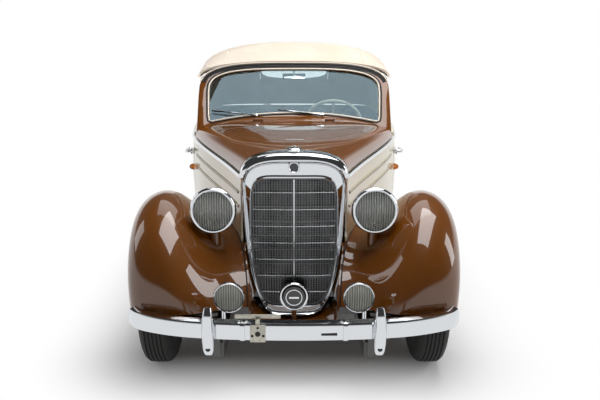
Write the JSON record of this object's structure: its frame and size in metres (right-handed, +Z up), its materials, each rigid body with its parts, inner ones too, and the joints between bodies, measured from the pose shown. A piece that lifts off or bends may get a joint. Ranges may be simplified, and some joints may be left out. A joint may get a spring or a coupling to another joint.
{
  "type": "two-door convertible car",
  "caption": "Fifties convertible with separate fenders, upright radiator shell, raised fabric top, opening doors, bonnet and boot lid, and steered, turning wheels.",
  "frame": {"origin": "middle of the car on the ground", "axes": "-Y towards the nose, +X towards the driver's side (the car's left), +Z up"},
  "size_m": [1.6848, 4.5, 1.558],
  "materials": {
    "brown_paint": "gloss",
    "cream_paint": "gloss",
    "bright_chrome": "polished",
    "black_paint": "satin",
    "grey_paint": "satin",
    "cast_grey": "matt",
    "exhaust_steel": "matt",
    "tyre_rubber": "matt",
    "window_glass": "clear",
    "lamp_glass": "fluted",
    "seat_leather": "satin",
    "top_fabric": "matt",
    "amber_glass": "clear",
    "red_glass": "clear",
    "cream_enamel": "gloss",
    "mesh_metal": "satin"
  },
  "bodies": {
    "car_body": {"chassis_frame": "black_paint", "jack_arms": "black_paint", "floor_pan": "grey_paint", "running_boards": "black_paint", "engine": "cast_grey", "exhaust": "exhaust_steel", "fuel_tank": "black_paint", "front_suspension": "black_paint", "rear_axle": "black_paint", "front_fenders": "brown_paint", "rear_fenders": "brown_paint", "front_apron": "brown_paint", "radiator_shell": "bright_chrome", "grille": "mesh_metal", "hood_sides": "cream_paint", "cowl_top": "brown_paint", "cowl_sides": "cream_paint", "windscreen_frame": "brown_paint", "windscreen_glass": "window_glass", "wipers": "bright_chrome", "mirror": "bright_chrome", "fixed_hinges": "bright_chrome", "rear_body": "cream_paint", "soft_top": "top_fabric", "rear_window": "window_glass", "belt_trim": "bright_chrome", "front_bumper": "bright_chrome", "rear_bumper": "bright_chrome", "headlamps": "brown_paint", "lamp_rims": "bright_chrome", "lamp_lenses": "lamp_glass", "side_lamps": "amber_glass", "tail_lamps": "red_glass", "dashboard": "cream_paint", "steering_column": "black_paint", "seats": "seat_leather"},
    "bonnet": {"hood": "brown_paint"},
    "luggage_lid": {"boot_lid": "brown_paint"},
    "steering": {"steering_wheel": "cream_enamel"},
    "side_door_left": {"door_left": "cream_paint", "door_glass_left": "window_glass", "door_fittings_left": "bright_chrome"},
    "steered_hub_left": {"knuckle_left": "cast_grey"},
    "side_door_right": {"door_right": "cream_paint", "door_glass_right": "window_glass", "door_fittings_right": "bright_chrome"},
    "steered_hub_right": {"knuckle_right": "cast_grey"},
    "road_wheel_front_left": {"tyre_front_left": "tyre_rubber", "wheel_front_left": "brown_paint"},
    "road_wheel_front_right": {"tyre_front_right": "tyre_rubber", "wheel_front_right": "brown_paint"},
    "road_wheel_rear_left": {"tyre_rear_left": "tyre_rubber", "wheel_rear_left": "brown_paint"},
    "road_wheel_rear_right": {"tyre_rear_right": "tyre_rubber", "wheel_rear_right": "brown_paint"}
  },
  "joints": [
    {"name": "bonnet_lift", "type": "hinge", "parent": "car_body", "child": "bonnet", "pos_m": [0, -0.5, 1.093], "axis": [-1, 0, 0], "range_deg": [0, 50]},
    {"name": "luggage_lid_lift", "type": "hinge", "parent": "car_body", "child": "luggage_lid", "pos_m": [0, 1.51425, 1.00881], "axis": [1, 0, 0], "range_deg": [0, 60]},
    {"name": "door_left_swing", "type": "hinge", "parent": "car_body", "child": "side_door_left", "pos_m": [0.71288, 0.737, 0.76], "axis": [0, 0, 1], "range_deg": [0, 65]},
    {"name": "door_right_swing", "type": "hinge", "parent": "car_body", "child": "side_door_right", "pos_m": [-0.71288, 0.737, 0.76], "axis": [0, 0, -1], "range_deg": [0, 65]},
    {"name": "steer_left", "type": "hinge", "parent": "car_body", "child": "steered_hub_left", "pos_m": [0.6005, -1.55, 0.34], "axis": [0, 0, 1], "range_deg": [-28, 28]},
    {"name": "steer_right", "type": "hinge", "parent": "car_body", "child": "steered_hub_right", "pos_m": [-0.6005, -1.55, 0.34], "axis": [0, 0, 1], "range_deg": [-28, 28]},
    {"name": "steering_turn", "type": "hinge", "parent": "car_body", "child": "steering", "pos_m": [0.262, -0.07, 1.01], "axis": [0, 0.866, 0.5], "range_deg": [-420, 420]},
    {"name": "spin_front_left", "type": "hinge", "parent": "steered_hub_left", "child": "road_wheel_front_left", "pos_m": [0.6575, -1.55, 0.34], "axis": [1, 0, 0], "continuous": true},
    {"name": "spin_front_right", "type": "hinge", "parent": "steered_hub_right", "child": "road_wheel_front_right", "pos_m": [-0.6575, -1.55, 0.34], "axis": [1, 0, 0], "continuous": true},
    {"name": "spin_rear_left", "type": "hinge", "parent": "car_body", "child": "road_wheel_rear_left", "pos_m": [0.71, 1.295, 0.34], "axis": [1, 0, 0], "continuous": true},
    {"name": "spin_rear_right", "type": "hinge", "parent": "car_body", "child": "road_wheel_rear_right", "pos_m": [-0.71, 1.295, 0.34], "axis": [1, 0, 0], "continuous": true}
  ],
  "couplings": [
    {"joint": "steer_right", "follows": "steer_left", "ratio": 1},
    {"joint": "steering_turn", "follows": "steer_left", "ratio": 15}
  ]
}
